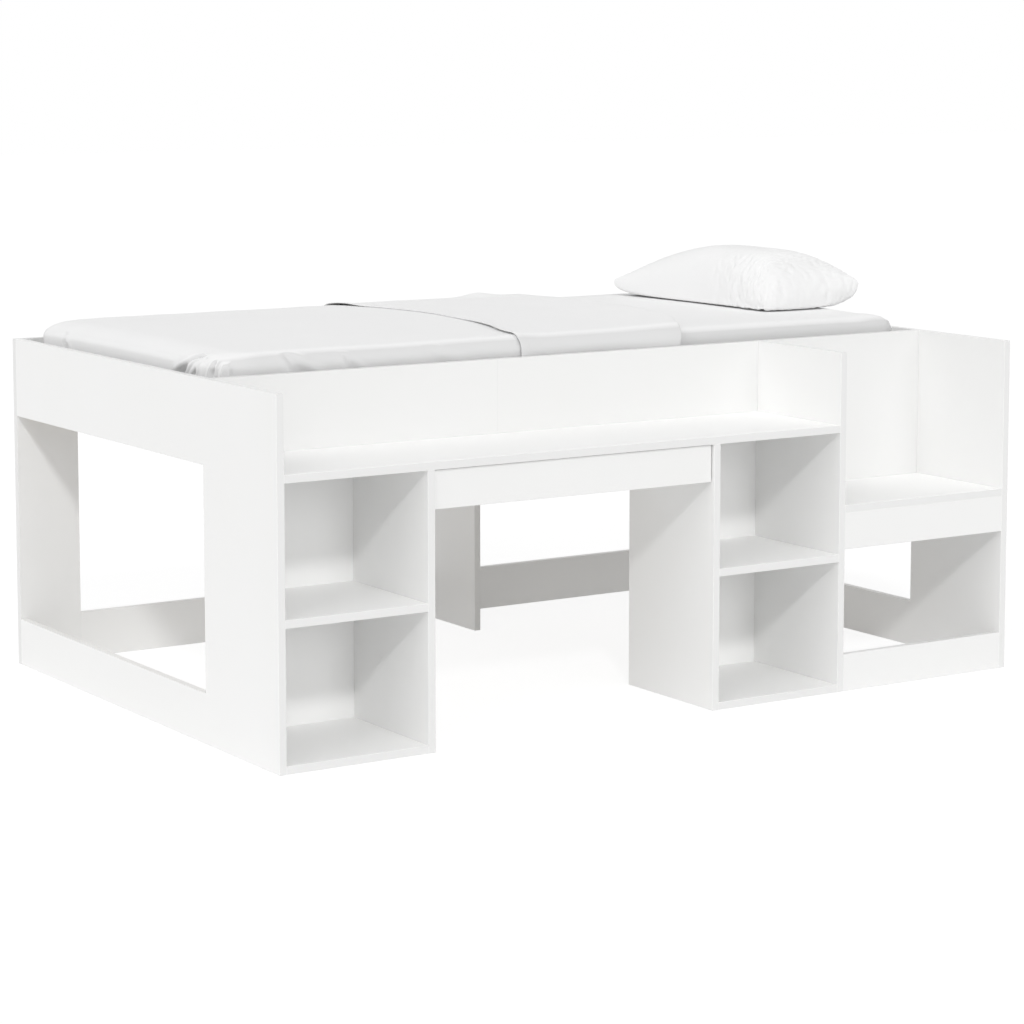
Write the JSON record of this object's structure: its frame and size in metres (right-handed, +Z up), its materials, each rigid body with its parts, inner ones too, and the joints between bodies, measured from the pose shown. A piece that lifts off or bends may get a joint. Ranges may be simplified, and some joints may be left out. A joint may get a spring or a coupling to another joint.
{
  "type": "storage bed",
  "caption": "Half-height single bed in white board with a desk top, open shelf towers, a shallow drawer and a bench built into its front, made up with bedding.",
  "frame": {"origin": "middle of the floor area, on the floor", "axes": "+X along the bed from foot to head, +Y from the desk side to the back, +Z up"},
  "size_m": [2.04, 1.368, 1.0069],
  "materials": {
    "white_board": "white melamine-faced board, satin",
    "white_panel": "thin white-faced fibreboard, matt",
    "slat_pine": "planed pale pine, unfinished",
    "dowel_beech": "beech",
    "runner_steel": "white powder coat",
    "fastener_steel": "zinc plated",
    "mattress_sheet": "white cotton fitted sheet",
    "blanket_cloth": "white cotton blanket",
    "pillow_cloth": "white cotton pillowcase"
  },
  "bodies": {
    "frame": {"back_leg": "white_board", "back_lower_rail": "white_board", "back_slat_cleat": "slat_pine", "back_upper_rail": "white_board", "barrel_nuts": "fastener_steel", "bench_apron": "white_board", "bench_back": "white_board", "bench_divider": "white_board", "bench_rail": "white_board", "bench_seat": "white_board", "blanket": "blanket_cloth", "blanket_turndown": "blanket_cloth", "cleat_screws": "fastener_steel", "corner_bolts": "fastener_steel", "desk_top": "white_board", "dowels": "dowel_beech", "front_slat_cleat": "slat_pine", "left_back_post": "white_board", "left_cabinet_runner": "runner_steel", "left_end_panel": "white_board", "left_guard_board": "white_board", "left_tower_back": "white_panel", "left_tower_bottom": "white_board", "left_tower_divider": "white_board", "left_tower_shelf": "white_board", "mattress": "mattress_sheet", "pillow": "pillow_cloth", "right_back_post": "white_board", "right_cabinet_runner": "runner_steel", "right_end_panel": "white_board", "right_guard_board": "white_board", "right_tower_back": "white_panel", "right_tower_bottom": "white_board", "right_tower_divider": "white_board", "right_tower_shelf": "white_board", "runner_screws": "fastener_steel", "slat_01": "slat_pine", "slat_02": "slat_pine", "slat_03": "slat_pine", "slat_04": "slat_pine", "slat_05": "slat_pine", "slat_06": "slat_pine", "slat_07": "slat_pine", "slat_08": "slat_pine", "slat_09": "slat_pine", "slat_10": "slat_pine", "slat_11": "slat_pine", "slat_12": "slat_pine", "slat_13": "slat_pine", "slat_screws": "fastener_steel"},
    "drawer": {"drawer_front": "white_board", "drawer_left_side": "white_board", "drawer_right_side": "white_board", "drawer_back": "white_board", "drawer_bottom": "white_panel", "left_drawer_runner": "runner_steel", "right_drawer_runner": "runner_steel", "drawer_dowels": "dowel_beech", "drawer_screws": "fastener_steel"}
  },
  "joints": [
    {"name": "drawer_slide", "type": "slide", "parent": "frame", "child": "drawer", "axis": [0, -1, 0], "range_m": [0, 0.2]}
  ]
}
